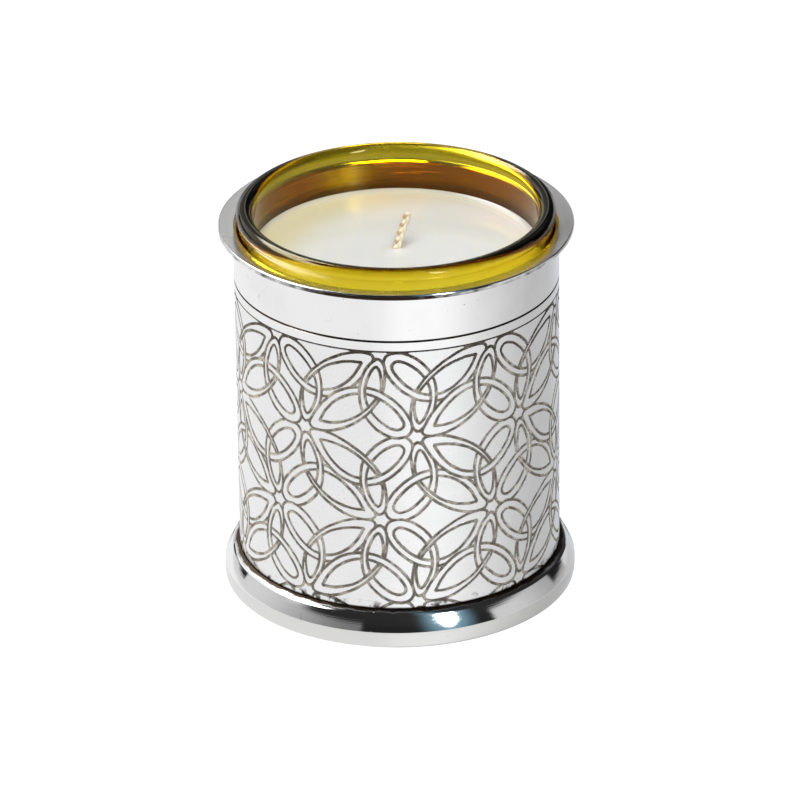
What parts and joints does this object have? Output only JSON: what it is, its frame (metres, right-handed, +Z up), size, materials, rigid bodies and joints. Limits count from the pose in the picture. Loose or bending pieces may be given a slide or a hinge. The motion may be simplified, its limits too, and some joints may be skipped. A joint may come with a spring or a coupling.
{
  "type": "candle lamp holder",
  "caption": "Cylindrical pewter votive lamp holder with an engraved knotwork sleeve, a flared lip and a foot ring, and a lift-out glass candle.",
  "frame": {"origin": "centre of the foot ring's flat underside", "axes": "+Z up along the holder's axis; -Y is the side that faces the viewer and +X is to the viewer's right"},
  "size_m": [0.0822, 0.0822, 0.0936],
  "materials": {
    "pewter_polished": "polished pewter, faint turning marks",
    "pewter_engraved": "polished pewter with darkened engraved lines",
    "amber_glass": "clear yellow-olive glass, fire-polished rim",
    "wax": "smooth ivory candle wax",
    "wick_cotton": "waxed cotton braid",
    "tinplate": "pressed tinplate",
    "sticker_foam": "white adhesive foam"
  },
  "bodies": {
    "holder": {"lip_collar": "pewter_polished", "patterned_sleeve": "pewter_engraved", "foot_ring": "pewter_polished", "base_plate": "pewter_polished"},
    "candle": {"glass_cup": "amber_glass", "wax_fill": "wax", "wick": "wick_cotton", "wick_sustainer": "tinplate", "wick_sticker": "sticker_foam"}
  },
  "joints": [
    {"name": "glass_lift", "type": "slide", "parent": "holder", "child": "candle", "axis": [0, 0, 1], "range_m": [0, 0.095]}
  ]
}
